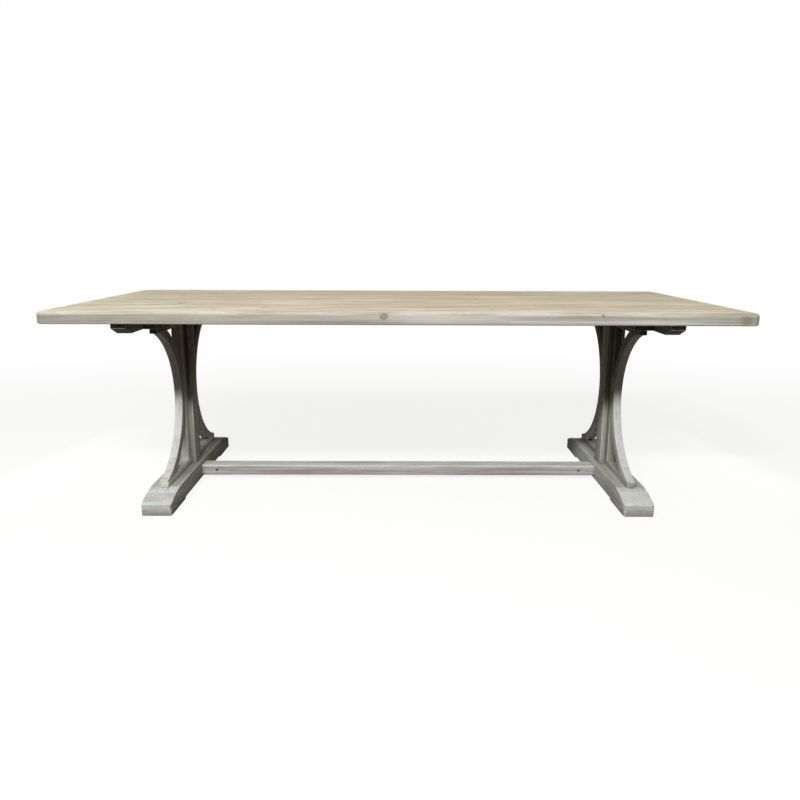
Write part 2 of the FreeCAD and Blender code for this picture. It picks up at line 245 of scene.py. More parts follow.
streaked = vector(timber, "MULTIPLY", grain, given["Streak"])
band = noise(timber, streaked, (0.7, 2.6, 2.6), 3.0, 0.55).outputs["Fac"]
fibre = noise(timber, grain, (3.0, 210.0, 210.0), 3.0, 0.6).outputs["Fac"]
fibre = number(timber, "MULTIPLY", number(timber, "SUBTRACT", fibre, 0.5), given["Fibre"])
fibre = number(timber, "ADD", fibre, 0.5)
tone = number(timber, "ADD", number(timber, "MULTIPLY", band, 0.9), number(timber, "MULTIPLY", fibre, 0.4))
tone = number(timber, "ADD", tone, number(timber, "MULTIPLY", late, given["Rings"]))
swirl_tone = number(timber, "MULTIPLY", swirl, 0.25)
tone = number(timber, "ADD", fade(timber, tone, 0.45, 0.95), swirl_tone, True)
wood = blend(timber, tone, given["Pale Wood"], given["Deep Wood"])
knot_rings = number(timber, "SINE", number(timber, "MULTIPLY", knot_reach, 22.0))
knot_rings = number(timber, "ADD", number(timber, "MULTIPLY", knot_rings, 0.25), 0.75)
KNOT_SHADE = (0.42, 0.36, 0.32, 1.0)
knot_wood = blend(timber, 1.0, given["Deep Wood"], KNOT_SHADE, "MULTIPLY")
wood = blend(timber, number(timber, "MULTIPLY", knot, knot_rings), wood, knot_wood)

patch = noise(timber, streaked, (1.0, 1.0, 1.0), 4.0, 0.62).outputs["Fac"]
patch = number(timber, "MULTIPLY", number(timber, "SUBTRACT", patch, 0.5), given["Patchiness"])
pores = number(timber, "MULTIPLY", number(timber, "SUBTRACT", fibre, 0.5), 1.2)
cover = number(timber, "ADD", number(timber, "ADD", given["Cover"], patch), pores)
bare_rings = number(timber, "MULTIPLY", late, number(timber, "MULTIPLY", given["Rings"], 0.6))
cover = number(timber, "SUBTRACT", cover, bare_rings)
cover = number(timber, "SUBTRACT", cover, number(timber, "MULTIPLY", knot, 0.45), True)
colour = blend(timber, cover, wood, given["Wash"])

split_line = noise(timber, grain, (0.22, 26.0, 26.0), 1.0).outputs["Fac"]
split_line = number(timber, "ABSOLUTE", number(timber, "SUBTRACT", split_line, 0.5))
split_place = vector(timber, "ADD", grain, (7.3, 1.9, 4.1))
split_place = noise(timber, split_place, (1.6, 8.0, 8.0)).outputs["Fac"]
split = fade(timber, split_line, 0.002, 0.01, 1.0, 0.0)
split = number(timber, "MULTIPLY", split, fade(timber, split_place, 0.58, 0.66))
SPLIT_DARK = (0.06, 0.045, 0.035, 1.0)
colour = blend(timber, number(timber, "MULTIPLY", split, 0.75), colour, SPLIT_DARK)
wire(timber, made["Colour"], colour)
wire(timber, made["Roughness"], fade(timber, cover, 0.0, 1.0, 0.55, 0.82))
relief = number(timber, "ADD", number(timber, "MULTIPLY", fibre, 0.5), number(timber, "MULTIPLY", late, 0.3))
relief = number(timber, "SUBTRACT", relief, number(timber, "MULTIPLY", split, 0.9))
wire(timber, made["Height"], number(timber, "ADD", relief, number(timber, "MULTIPLY", knot, 0.2)))

# Handling and corner shade: chalk specks in the wash, arrises rubbed to a colour of their own, and
# painted shade, brown and patchy, laid in the inner corners.
wear_and_corner_shade, given, made = node_group(
    "wear_and_corner_shade",
    [("Vector", "Vector"), ("Colour", "Color"), ("Rubbed", "Color"), ("Corner Shade", "Float"), ("Chalk", "Float")],
    [("Colour", "Color")],
)
specks = noise(wear_and_corner_shade, given["Vector"], (55.0, 120.0, 120.0), 4.0, 0.7).outputs["Fac"]
specks = fade(wear_and_corner_shade, specks, 0.34, 0.66, -1.0, 1.0)
specks = number(wear_and_corner_shade, "ADD", number(wear_and_corner_shade, "MULTIPLY", specks, given["Chalk"]), 1.0)
chalky = blend(wear_and_corner_shade, 1.0, given["Colour"], specks, "MULTIPLY")
rub = wear_and_corner_shade.nodes.new("ShaderNodeAttribute")
rub.attribute_name = "rub"
scuffs = noise(wear_and_corner_shade, given["Vector"], (9.0, 60.0, 60.0), 3.0, 0.6).outputs["Fac"]
rubbed = number(wear_and_corner_shade, "MULTIPLY", rub.outputs["Fac"], fade(wear_and_corner_shade, scuffs, 0.36, 0.6, 0.2, 0.9))
colour = blend(wear_and_corner_shade, rubbed, chalky, given["Rubbed"])
# Painted shade: occlusion finds the inner corners and joints, where a patchy brown is laid.
corners = wear_and_corner_shade.nodes.new("ShaderNodeAmbientOcclusion")
corners.samples = 6
corners.inputs["Distance"].default_value = 0.03
smear = noise(wear_and_corner_shade, given["Vector"], (14.0, 14.0, 14.0), 3.0, 0.6).outputs["Fac"]
openness = number(wear_and_corner_shade, "ADD", corners.outputs["AO"], number(wear_and_corner_shade, "MULTIPLY", smear, 0.35))
corner_shade_share = number(wear_and_corner_shade, "MULTIPLY", fade(wear_and_corner_shade, openness, 0.45, 1.05, 1.0, 0.0), given["Corner Shade"])
CORNER_SHADE_BROWN = (0.085, 0.068, 0.05, 1.0)
wire(wear_and_corner_shade, made["Colour"], blend(wear_and_corner_shade, corner_shade_share, colour, CORNER_SHADE_BROWN))

ALONG_X = (0.0, 0.0, 0.0)
ALONG_Y = (0.0, 0.0, math.radians(90.0))
ALONG_Z = (0.0, math.radians(90.0), 0.0)


def unmarked(tree, place, colour):
    """No marks: the colour as it comes."""
    return colour


def limed_finish(node, turn, start, look, marks=unmarked):
    """Limewashed timber with its grain turned along the piece, and any marks of its own."""
    finish = bpy.data.materials.new(node + "_limewash")
    finish.use_nodes = True
    tree = finish.node_tree
    shader = tree.nodes["Principled BSDF"]
    place = tree.nodes.new("ShaderNodeTexCoord").outputs["Object"]
    low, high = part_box(node)
    middle = (Vector(low) + Vector(high)) / 2
    mapping = tree.nodes.new("ShaderNodeMapping")
    mapping.inputs["Rotation"].default_value = turn
    mapping.inputs["Location"].default_value = Vector((start, 0.0, 0.0)) - Euler(turn).to_matrix() @ middle
    wire(tree, mapping.inputs["Vector"], place)
    along = mapping.outputs["Vector"]
    # Rubbed and Chalk are wear; the remaining label sets the painted shade in the inner corners.
    worn_or_shaded = ("Rubbed", "Corner Shade", "Chalk")
    grown = {label: value for label, value in look.items() if label not in worn_or_shaded + ("Sheen",)}
    body = use_group(tree, timber, {"Vector": along, **grown})
    wear_and_shade_settings = {label: look[label] for label in worn_or_shaded}
    wear_and_shade_settings["Vector"] = along
    wear_and_shade_settings["Colour"] = marks(tree, place, body["Colour"])
    wire(tree, shader.inputs["Base Color"], use_group(tree, wear_and_corner_shade, wear_and_shade_settings)["Colour"])
    wire(tree, shader.inputs["Roughness"], body["Roughness"])
    bump = tree.nodes.new("ShaderNodeBump")
    bump.inputs["Strength"].default_value = 0.4
    bump.inputs["Distance"].default_value = 0.0012
    wire(tree, bump.inputs["Height"], body["Height"])
    wire(tree, shader.inputs["Normal"], bump.outputs["Normal"])
    shader.inputs["Specular IOR Level"].default_value = look["Sheen"]
    return finish


# Painted shade under the top: higher up, the wood is made browner and darker where the top's shadow falls.
shade_under_top, given, made = node_group(
    "shade_under_top", [("Vector", "Vector"), ("Colour", "Color"), ("Share", "Float")], [("Colour", "Color")],
)
UNDER_TOP_SHADE = (0.34, 0.285, 0.215, 1.0)
level = axes(shade_under_top, given["Vector"])["Z"]
browned = blend(shade_under_top, 1.0, given["Colour"], UNDER_TOP_SHADE, "MULTIPLY")
share = number(shade_under_top, "MULTIPLY", fade(shade_under_top, level, 0.28, 0.56), given["Share"])
wire(shade_under_top, made["Colour"], blend(shade_under_top, share, given["Colour"], browned))


def shaded_under_top(share):
    """Painted shade of a piece that the top keeps in the dark."""
    def marks(tree, place, colour):
        return use_group(tree, shade_under_top, {"Vector": place, "Colour": colour, "Share": share})["Colour"]
    return marks


def base_finish(node, turn, start, heart, cover, patchiness, corner_shade, marks):
    """Grey limewash of the trestles and the stretcher."""
    return limed_finish(node, turn, start, {
        "Heart": heart, "Ring Width": 0.0055, "Streak": (3.0, 45.0, 45.0), "Fibre": 0.65,
        "Cover": cover, "Patchiness": patchiness, "Rings": 0.14, "Corner Shade": corner_shade, "Chalk": 0.06, "Sheen": 0.02,
        "Pale Wood": (0.315, 0.285, 0.235, 1.0), "Deep Wood": (0.13, 0.108, 0.083, 1.0),
        "Wash": (0.547, 0.570, 0.568, 1.0), "Rubbed": (0.59, 0.61, 0.60, 1.0),
    }, marks)


def give(piece, finish):
    """One finish all over a piece."""
    piece.data.materials.clear()
    piece.data.materials.append(finish)


EVEN_WASH = (0.557, 0.58, 0.572, 1.0)
THICK_WASH = (0.68, 0.70, 0.68, 1.0)
THIN_WASH = (0.36, 0.36, 0.33, 1.0)
DARKER_WASH = (0.58, 0.56, 0.52, 1.0)
REAR_SHADE_GREY = (0.5, 0.51, 0.5, 1.0)


def foot_marks(rear_shade):
    """Toes brushed smooth with an even wash, level top and low front darker, painted shade towards the rear.
    """
    def marks(tree, place, colour):
        spot = axes(tree, place)
        facing = outward(tree)
        sideways = number(tree, "ABSOLUTE", facing["X"])
        toes = fade(tree, number(tree, "ABSOLUTE", spot["Y"]), 0.31, 0.36, 0.0, 0.7)
        toes = number(tree, "MULTIPLY", toes, fade(tree, sideways, 0.4, 0.8, 1.0, 0.0))
        colour = blend(tree, toes, colour, EVEN_WASH)
        strokes = noise(tree, place, (6.0, 9.0, 55.0), 4.0, 0.6).outputs["Fac"]
        thick = number(tree, "MULTIPLY", fade(tree, strokes, 0.46, 0.68, 0.0, 0.8), toes)
        colour = blend(tree, thick, colour, THICK_WASH)
        thin = number(tree, "MULTIPLY", fade(tree, strokes, 0.32, 0.5, 0.8, 0.0), toes)
        colour = blend(tree, thin, colour, THIN_WASH)
        # The level top and the lowest part of the front faces are made darker.
        front = fade(tree, number(tree, "ABSOLUTE", facing["Y"]), 0.6, 0.97)
        low_front = number(tree, "MULTIPLY", front, fade(tree, spot["Z"], 0.006, 0.034, 0.7, 0.25))
        level_top = fade(tree, facing["Z"], 0.96, 0.99, 0.0, 0.55)
        darkened = blend(tree, 1.0, colour, DARKER_WASH, "MULTIPLY")
        colour = blend(tree, number(tree, "MAXIMUM", level_top, low_front), colour, darkened)
        # Painted shade towards the rear of the foot.
        rear_shaded = blend(tree, 1.0, colour, REAR_SHADE_GREY, "MULTIPLY")
        return blend(tree, fade(tree, spot["Y"], -0.3, 0.15, 0.0, rear_shade), colour, rear_shaded)
    return marks


def across_foot(a, b):
    """An edge that runs from flank to flank."""
    return abs(a.x - b.x) > 0.05


def crest_edge(a, b):
    """The break between the level top and a sloped toe."""
    return across_foot(a, b) and min(a.z, b.z) > 0.06


def nose_edge(a, b):
    """The break between a sloped toe and its upright end."""
    return across_foot(a, b) and 0.03 < min(a.z, b.z) < 0.05


def foot_edge(low, high):
    """Chooses the flanks' edges and the lower ones across, clear of the joint with the stretcher."""
    def chosen(a, b):
        below = across_foot(a, b) and max(a.z, b.z) < 0.03
        return (on_flank(a, b, low, high) or below) and max(abs(a.y), abs(b.y)) > 0.06
    return chosen


# The left foot takes more painted shade towards its rear than the right one.
for side, start, cover, rear_shade in (("left", 0.31, 0.8, 0.7), ("right", 2.63, 0.92, 0.1)):
    node = side + "_foot"
    arrises = foot_edge(*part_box(node))
    foot = worn_copy(node, "base_wood", (0.025, crest_edge), (0.017, nose_edge), (0.005, arrises))
    give(foot, base_finish(
        node, ALONG_Y, start, heart=(0.0, 0.02, -0.22), cover=cover, patchiness=2.3, corner_shade=0.4,
        marks=foot_marks(rear_shade),
    ))


# Lower rails
# A narrow limewashed rail lies along the top of each foot and is screwed to it from below. The curved
# braces stand on it, and the post's tenon passes through it.
def box_edge(low, high):
    """Chooses the outer edges of a squared piece, not the rims of its holes."""
    def chosen(a, b):
        levels = [on_level(a, b, axis, low[axis]) or on_level(a, b, axis, high[axis]) for axis in range(3)]
        return sum(levels) >= 2
    return chosen


def lit_or_shaded(tint, marked):
    """Other marks, on a piece painted paler all over as painted light, or darker as painted shade."""
    def marks(tree, place, colour):
        return blend(tree, 1.0, marked(tree, place, colour), tint, "MULTIPLY")
    return marks


# Painted light and shade: by tint and cover the left rail is made paler and the right one darker.
for side, start, cover, corner_shade, tint in (
    ("left", 1.2, 0.95, 0.12, (1.2, 1.19, 1.13, 1.0)),
    ("right", 3.4, 0.5, 0.3, (0.80, 0.83, 0.77, 1.0)),
):
    node = side + "_lower_rail"
    rail = worn_copy(node, "base_wood", (0.002, box_edge(*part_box(node))))
    give(rail, base_finish(
        node, ALONG_Y, start, heart=(0.0, 0.06, -0.05), cover=cover, patchiness=1.1, corner_shade=corner_shade,
        marks=lit_or_shaded(tint, unmarked),
    ))


# Post cores
# The middle board of each post, limewashed too, tenoned at both ends through the rails into foot and
# bearer. Its front and rear edges show between the braces.
# Painted light and shade: by tint and cover the left core is made paler and the right one darker; both also
# carry painted shade under the top.
for side, start, cover, tint in (
    ("left", 0.9, 1.1, (1.12, 1.11, 1.04, 1.0)),
    ("right", 2.1, 0.28, (0.78, 0.79, 0.75, 1.0)),
):
    node = side + "_post_core"
    core = worn_copy(node, "base_wood", (0.0025, box_edge(*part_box(node))))
    give(core, base_finish(
        node, ALONG_Z, start, heart=(0.0, 0.1, 0.03), cover=cover, patchiness=1.3, corner_shade=0.1,
        marks=lit_or_shaded(tint, shaded_under_top(0.8)),
    ))


# Post cheeks
# A plain limewashed board glued to each flat of the core, across both rails from foot to bearer. The
# two make the post as wide as the bearer.
# The top's shadow is painted on the upper part of each cheek, most on the left inner one.
for place, start, cover, shade in (
    ("left_inner", 0.2, 0.62, 1.0), ("left_outer", 0.9, 0.55, 0.8),
    ("right_inner", 1.7, 0.5, 0.4), ("right_outer", 2.6, 0.55, 0.8),
):
    node = place + "_post_cheek"
    cheek = worn_copy(node, "base_wood", (0.0025, box_edge(*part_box(node))))
    give(cheek, base_finish(
        node, ALONG_Z, start, heart=(0.0, 0.04, 0.12), cover=cover, patchiness=1.3, corner_shade=0.4,
        marks=shaded_under_top(shade),
    ))


# Curved braces
# Limewashed strips sawn to an arc from wide boards, so that their grain runs upright. Each is dowelled
# to the core at its waist and to both rails at its ends. Their hollow edges are the palest of the base.
def brace_shade(edge_shade, flank_shade):
    """Painted shade under the top: the flanks of a brace are made browner than its hollow edge."""
    def marks(tree, place, colour):
        flank = number(tree, "ABSOLUTE", outward(tree)["X"])
        share = fade(tree, flank, 0.5, 0.9, edge_shade, flank_shade)
        return use_group(tree, shade_under_top, {"Vector": place, "Colour": colour, "Share": share})["Colour"]
    return marks


def flank_edge(low, high):
    """Chooses the edges round both flanks of a piece."""
    def chosen(a, b):
        return on_flank(a, b, low, high)
    return chosen


# The flanks of every brace, and the hollow edges of the rear ones, carry painted shade under the top.
for place, start, cover, edge_shade in (
    ("left_front", 0.5, 0.9, 0.0), ("left_rear", 1.4, 0.75, 0.85),
    ("right_front", 2.2, 0.98, 0.0), ("right_rear", 3.1, 0.75, 0.85),
):
    node = place + "_brace"
    brace = worn_copy(node, "base_wood", (0.0025, flank_edge(*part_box(node))))
    give(brace, base_finish(
        node, ALONG_Z, start, heart=(0.0, 0.15, -0.06), cover=cover, patchiness=1.6, corner_shade=0.4,
        marks=brace_shade(edge_shade, flank_shade=0.8),
    ))


# Upper rails
# The thinner twin of the lower rail, limewashed, under the bearer. It takes the heads of the braces,
# and the bearer's screws pass through it.
# The top's shadow is painted on them as browner, darker wood.
for side, start in (("left", 0.4), ("right", 1.9)):
    node = side + "_upper_rail"
    rail = worn_copy(node, "base_wood", (0.002, box_edge(*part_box(node))))
    give(rail, base_finish(
        node, ALONG_Y, start, heart=(0.0, 0.05, 0.04), cover=0.3, patchiness=1.5, corner_shade=0.6,
        marks=shaded_under_top(0.85),
    ))


# Bearers
# A flat bar of limewashed timber on each trestle carries the top. It is as wide as the post, takes its
# upper tenon, and is screwed up into the boards.
# The top's shadow is painted on them as browner, darker wood.
for side, start in (("left", 2.4), ("right", 0.7)):
    node = side + "_bearer"
    bearer = worn_copy(node, "base_wood", (0.0025, box_edge(*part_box(node))))
    give(bearer, base_finish(
        node, ALONG_Y, start, heart=(0.0, -0.05, 0.06), cover=0.3, patchiness=1.5, corner_shade=0.6,
        marks=shaded_under_top(0.85),
    ))


# Dowels and tongues
# Turned hardwood dowels in the braces and loose softwood tongues between the boards of the top,
# all bare wood and hidden in their holes and grooves.
bare_wood = limed_finish("top_tongue_1", ALONG_X, 0.2, {
    "Heart": (0.0, 0.3, 0.2), "Ring Width": 0.004, "Streak": (2.0, 30.0, 30.0), "Fibre": 1.0,
    "Cover": 0.15, "Patchiness": 0.5, "Rings": 0.2, "Corner Shade": 0.1, "Chalk": 0.02, "Sheen": 0.1,
    "Pale Wood": (0.62, 0.45, 0.28, 1.0), "Deep Wood": (0.42, 0.27, 0.14, 1.0),
    "Wash": (0.60, 0.46, 0.31, 1.0), "Rubbed": (0.62, 0.47, 0.31, 1.0),
})
bare_wood.name = "bare_wood"
bare_nodes = ["left_brace_dowels", "right_brace_dowels"]
bare_nodes += ["top_tongue_%d" % count for count in range(1, 7)]
for node in bare_nodes:
    give(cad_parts[node], bare_wood)


# Stretcher
# A flat limewashed bar low down between the feet, stub tenoned into both and drawn up by a bolt at each
# end. It is streaked where the wash ran along the grain.
def long_edge(a, b):
    """An edge that runs from end to end of the bar."""
    return abs(a.x - b.x) > 0.5


MAUVE_BROWN = (0.27, 0.235, 0.205, 1.0)


def stretcher_marks(tree, place, colour):
    """The upright faces are thinly washed, with mauve brown wood showing in long streaks."""
    upright = fade(tree, number(tree, "ABSOLUTE", outward(tree)["Y"]), 0.6, 0.95)
    streaks = noise(tree, place, (1.6, 20.0, 55.0), 4.0, 0.6).outputs["Fac"]
    thin = number(tree, "MULTIPLY", upright, fade(tree, streaks, 0.4, 0.6, 0.1, 0.68))
    return blend(tree, thin, colour, MAUVE_BROWN)


stretcher = worn_copy("stretcher", "base_wood", (0.0045, long_edge))
give(stretcher, base_finish(
    "stretcher", ALONG_X, start=0.6, heart=(0.0, 0.16, 0.06), cover=0.84, patchiness=1.8, corner_shade=0.5,
    marks=stretcher_marks,
))


# Bolts, washers, barrel nuts and screws
# Zinc plated steel: a bolt with its washer in a pocket of each foot, drawn into a barrel nut in the
# stretcher, and pan head screws in pockets under rails, cleats and feet.
steel = bpy.data.materials.new("zinc_plated_steel")
steel.use_nodes = True
tree = steel.node_tree
shader = tree.nodes["Principled BSDF"]
place = tree.nodes.new("ShaderNodeTexCoord").outputs["Object"]
spangle = noise(tree, place, (160.0, 160.0, 160.0), 3.0, 0.6).outputs["Fac"]
dulling = fade(tree, noise(tree, place, (35.0, 35.0, 35.0), 4.0, 0.6).outputs["Fac"], 0.4, 0.65)
BRIGHT_ZINC = (0.55, 0.56, 0.57, 1.0)
DULL_ZINC = (0.33, 0.32, 0.30, 1.0)
plating = blend(tree, dulling, BRIGHT_ZINC, DULL_ZINC)
wire(tree, shader.inputs["Base Color"], plating)
wire(tree, shader.inputs["Roughness"], fade(tree, spangle, 0.3, 0.7, 0.28, 0.5))
shader.inputs["Metallic"].default_value = 1.0
steel_nodes = ["stretcher_bolts", "stretcher_washers", "stretcher_barrel_nuts"]
for side in ("left", "right"):
    steel_nodes += [side + "_rail_screws", side + "_bearer_screws", side + "_cleat_screws"]
for node in steel_nodes:
    give(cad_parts[node], steel)


# Top boards
# Reclaimed planks laid along the table and joined by tongues, planed flat, brushed and washed a warm
# cream. The outer edges are rounded over and bright with wear, and the joints show as fine lines.
half_length, half_width, top_face = cad_box[1]
under_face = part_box("top_board_1")[0].z

# Weathered rim: the sawn edges all round the top are greyer than its face, mauve brown in places,
# and pale along the under arris, where the wash ran down and dried.
RIM_DARK = (0.19, 0.176, 0.156, 1.0)
RIM_PALE = (0.415, 0.40, 0.365, 1.0)
RIM_BROWN = (0.27, 0.225, 0.20, 1.0)
RIM_BLEACH = (1.62, 1.66, 1.72, 1.0)
DRIED_WASH = (0.66, 0.64, 0.60, 1.0)
ARRIS_GREY = (0.63, 0.71, 0.825, 1.0)
rim, given, made = node_group(
    "weathered_rim", [("Vector", "Vector"), ("Colour", "Color")], [("Colour", "Color")],
)
spot = axes(rim, given["Vector"])
at_front = fade(rim, number(rim, "ABSOLUTE", spot["Y"]), half_width - 0.013, half_width - 0.003)
at_end = fade(rim, number(rim, "ABSOLUTE", spot["X"]), half_length - 0.013, half_length - 0.003)
below_arris = fade(rim, spot["Z"], top_face - 0.013, top_face - 0.005, 1.0, 0.0)
end_grain = number(rim, "MULTIPLY", at_end, 0.5)
at_rim = number(rim, "MULTIPLY", number(rim, "MAXIMUM", at_front, end_grain), below_arris)
streaks = noise(rim, given["Vector"], (1.3, 9.0, 70.0), 4.0, 0.6).outputs["Fac"]
grey = blend(rim, fade(rim, streaks, 0.3, 0.68), RIM_DARK, RIM_PALE)
stains = noise(rim, given["Vector"], (2.2, 5.0, 14.0), 3.0, 0.55).outputs["Fac"]
browned = fade(rim, spot["X"], -0.4, 0.1, 0.6, 0.15)
browned = number(rim, "MULTIPLY", fade(rim, stains, 0.44, 0.6), browned)
grey = blend(rim, browned, grey, RIM_BROWN)
bleached = fade(rim, spot["X"], -0.15, 0.2)
bleached = number(rim, "MULTIPLY", bleached, fade(rim, spot["X"], 0.9, 1.2, 1.0, 0.4))
grey = blend(rim, bleached, grey, RIM_BLEACH, "MULTIPLY")
under_arris = fade(rim, spot["Z"], under_face + 0.0005, under_face + 0.009, 0.75, 0.0)
grey = blend(rim, under_arris, grey, DRIED_WASH)
arris = number(rim, "MULTIPLY", number(rim, "MAXIMUM", at_front, at_end), 0.9)
dulled = blend(rim, 1.0, given["Colour"], ARRIS_GREY, "MULTIPLY")
dulled = blend(rim, arris, given["Colour"], dulled)
wire(rim, made["Colour"], blend(rim, number(rim, "MULTIPLY", at_rim, 0.9), dulled, grey))

# Drift: the cream wash leans to green towards the ends of the planks and to pink in their middle, and
# is a little paler towards the right.
PINK_LEAN = (1.02, 0.995, 1.0, 1.0)
GREEN_LEAN = (0.97, 1.015, 0.985, 1.0)
PALER = (1.10, 1.10, 1.09, 1.0)
drift, given, made = node_group(
    "wash_drift", [("Vector", "Vector"), ("Colour", "Color")], [("Colour", "Color")],
)
spot = axes(drift, given["Vector"])
lean = noise(drift, given["Vector"], (1.7, 9.0, 9.0), 3.0, 0.6).outputs["Fac"]
ends = fade(drift, number(drift, "ABSOLUTE", spot["X"]), 0.4, 1.0, -0.12, 0.1)
lean = fade(drift, number(drift, "ADD", lean, ends), 0.36, 0.64)
tint = blend(drift, lean, PINK_LEAN, GREEN_LEAN)
tint = blend(drift, fade(drift, spot["X"], 0.3, 1.0), tint, PALER, "MULTIPLY")
wire(drift, made["Colour"], blend(drift, 1.0, given["Colour"], tint, "MULTIPLY"))

# One knot or nail hole at a place of its own.
blemish, given, made = node_group(
    "blemish",
    [("Vector", "Vector"), ("Place", "Vector"), ("Reach", "Float"), ("Mark", "Color"), ("Colour", "Color")],
    [("Colour", "Color")],
)
ragged = noise(blemish, given["Vector"], (45.0, 90.0, 90.0), 3.0, 0.6).outputs["Fac"]
ragged = number(blemish, "MULTIPLY", number(blemish, "SUBTRACT", ragged, 0.5), 0.8)
gap = vector(blemish, "SUBTRACT", given["Vector"], given["Place"])
gap = vector(blemish, "MULTIPLY", gap, (0.8, 1.0, 1.0))
gap = number(blemish, "DIVIDE", vector(blemish, "LENGTH", gap), given["Reach"])
gap = number(blemish, "ADD", gap, ragged)
rings = number(blemish, "SINE", number(blemish, "MULTIPLY", gap, 17.0))
rings = fade(blemish, rings, -1.0, 1.0, 0.5, 0.95)
share = number(blemish, "MULTIPLY", fade(blemish, gap, 0.5, 1.05, 1.0, 0.0), rings)
wire(blemish, made["Colour"], blend(blemish, share, given["Colour"], given["Mark"]))


def board_marks(blemishes):
    """Drifting wash, weathered rim, and the knots and nail holes of one board."""
    def marks(tree, place, colour):
        colour = use_group(tree, drift, {"Vector": place, "Colour": colour})["Colour"]
        colour = use_group(tree, rim, {"Vector": place, "Colour": colour})["Colour"]
        for centre, reach, mark in blemishes:
            knot_at = {"Vector": place, "Place": centre, "Reach": reach, "Mark": mark, "Colour": colour}
            colour = use_group(tree, blemish, knot_at)["Colour"]
        return colour
    return marks


def joint_edge(low, high):
    """Chooses the long edges of a board, on its face and on its underside."""
    def chosen(a, b):
        lengthwise = abs(a.x - b.x) > 1.0
        return lengthwise and (on_level(a, b, 2, low[2]) or on_level(a, b, 2, high[2]))
    return chosen


# Place, reach and colour of each knot or nail hole, by board from the front.
RIM_KNOT = (0.27, 0.205, 0.155, 1.0)
DARK_KNOT = (0.20, 0.15, 0.115, 1.0)
TAN_KNOT = (0.30, 0.21, 0.15, 1.0)
BROWN_KNOT = (0.23, 0.165, 0.12, 1.0)
NAIL_HOLE = (0.04, 0.032, 0.025, 1.0)
board_blemishes = {
    1: (
        ((1.172, -0.5, 0.738), 0.021, RIM_KNOT),
        ((-0.05, -0.496, 0.750), 0.016, DARK_KNOT),
        ((0.688, -0.496, 0.753), 0.0065, NAIL_HOLE),
        ((1.127, -0.492, 0.757), 0.007, TAN_KNOT),
        ((-0.648, -0.393, top_face), 0.011, BROWN_KNOT),
        ((0.329, -0.396, top_face), 0.012, BROWN_KNOT),
    ),
    2: (
        ((-0.482, -0.33, top_face), 0.015, BROWN_KNOT),
        ((0.105, -0.313, top_face), 0.012, BROWN_KNOT),
        ((0.414, -0.25, top_face), 0.01, BROWN_KNOT),
    ),
    3: (
        ((-0.829, -0.176, top_face), 0.017, BROWN_KNOT),
        ((-0.539, -0.165, top_face), 0.011, BROWN_KNOT),
    ),
    4: (
        ((-0.707, -0.011, top_face), 0.01, BROWN_KNOT),
        ((0.32, 0.028, top_face), 0.012, BROWN_KNOT),
    ),
    5: (((-0.93, 0.16, top_face), 0.013, BROWN_KNOT),),
    6: (((0.31, 0.27, top_face), 0.014, BROWN_KNOT),),
    7: (),
}
# Place along the log, side of its heart, cover of the wash and ring width, by board from the front.
board_woods = (
    (0.0, -0.09, 0.60, 0.006),
    (1.35, 0.03, 0.44, 0.0085),
    (3.1, 0.06, 0.63, 0.005),
    (0.55, -0.05, 0.49, 0.0072),
    (2.25, 0.08, 0.68, 0.0056),
    (4.0, -0.02, 0.42, 0.0092),
    (1.8, 0.1, 0.56, 0.0064),
)
for count, (start, heart, cover, ring_width) in enumerate(board_woods, 1):
    node = "top_board_%d" % count
    board = worn_copy(node, "top_wood", (0.0016, joint_edge(*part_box(node))))
    give(board, limed_finish(node, ALONG_X, start, {
        "Heart": (0.0, heart, 0.12), "Ring Width": ring_width, "Streak": (3.2, 14.0, 14.0), "Fibre": 0.6,
        "Cover": cover, "Patchiness": 3.3, "Rings": 0.28, "Corner Shade": 0.7, "Chalk": 0.03, "Sheen": 0.15,
        "Pale Wood": (0.60, 0.515, 0.39, 1.0), "Deep Wood": (0.345, 0.28, 0.19, 1.0),
        "Wash": (0.72, 0.662, 0.54, 1.0), "Rubbed": (0.27, 0.215, 0.15, 1.0),
    }, board_marks(board_blemishes[count])))


# Cleats
# A limewashed batten across the underside of the boards, outside each trestle, keeps the top flat. Both
# of its ends slope up below, and a screw in each board holds it.
def cleat_edge(low, high):
    """Chooses the edges round both flanks and those that run across the batten."""
    def chosen(a, b):
        return on_flank(a, b, low, high) or abs(a.x - b.x) > 0.04
    return chosen


# The top's shadow is painted on them as browner, darker wood.
for side, start in (("left", 1.6), ("right", 0.1)):
    node = side + "_top_cleat"
    cleat = worn_copy(node, "base_wood", (0.0025, cleat_edge(*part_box(node))))
    give(cleat, base_finish(
        node, ALONG_Y, start, heart=(0.0, -0.1, 0.08), cover=0.3, patchiness=1.5, corner_shade=0.6,
        marks=shaded_under_top(0.55),
    ))


# Floor
# A plain pale studio floor that takes a soft shadow near the table and runs out white. It is seen
# through from below.
def seen_directly(tree):
    """Rays that show the surface itself: from the camera, in a reflection or through glass."""
    rays = tree.nodes.new("ShaderNodeLightPath").outputs
    mirrored = number(tree, "MAXIMUM", rays["Is Glossy Ray"], rays["Is Transmission Ray"])
    return number(tree, "MAXIMUM", rays["Is Camera Ray"], mirrored)


def mixed(tree, share, first, second):
    """A shader that turns from the first to the second as the share goes from 0 to 1."""
    node = tree.nodes.new("ShaderNodeMixShader")
    wire(tree, node.inputs["Fac"], share)
    wire(tree, node.inputs[1], first.outputs[0])
    wire(tree, node.inputs[2], second.outputs[0])
    return node


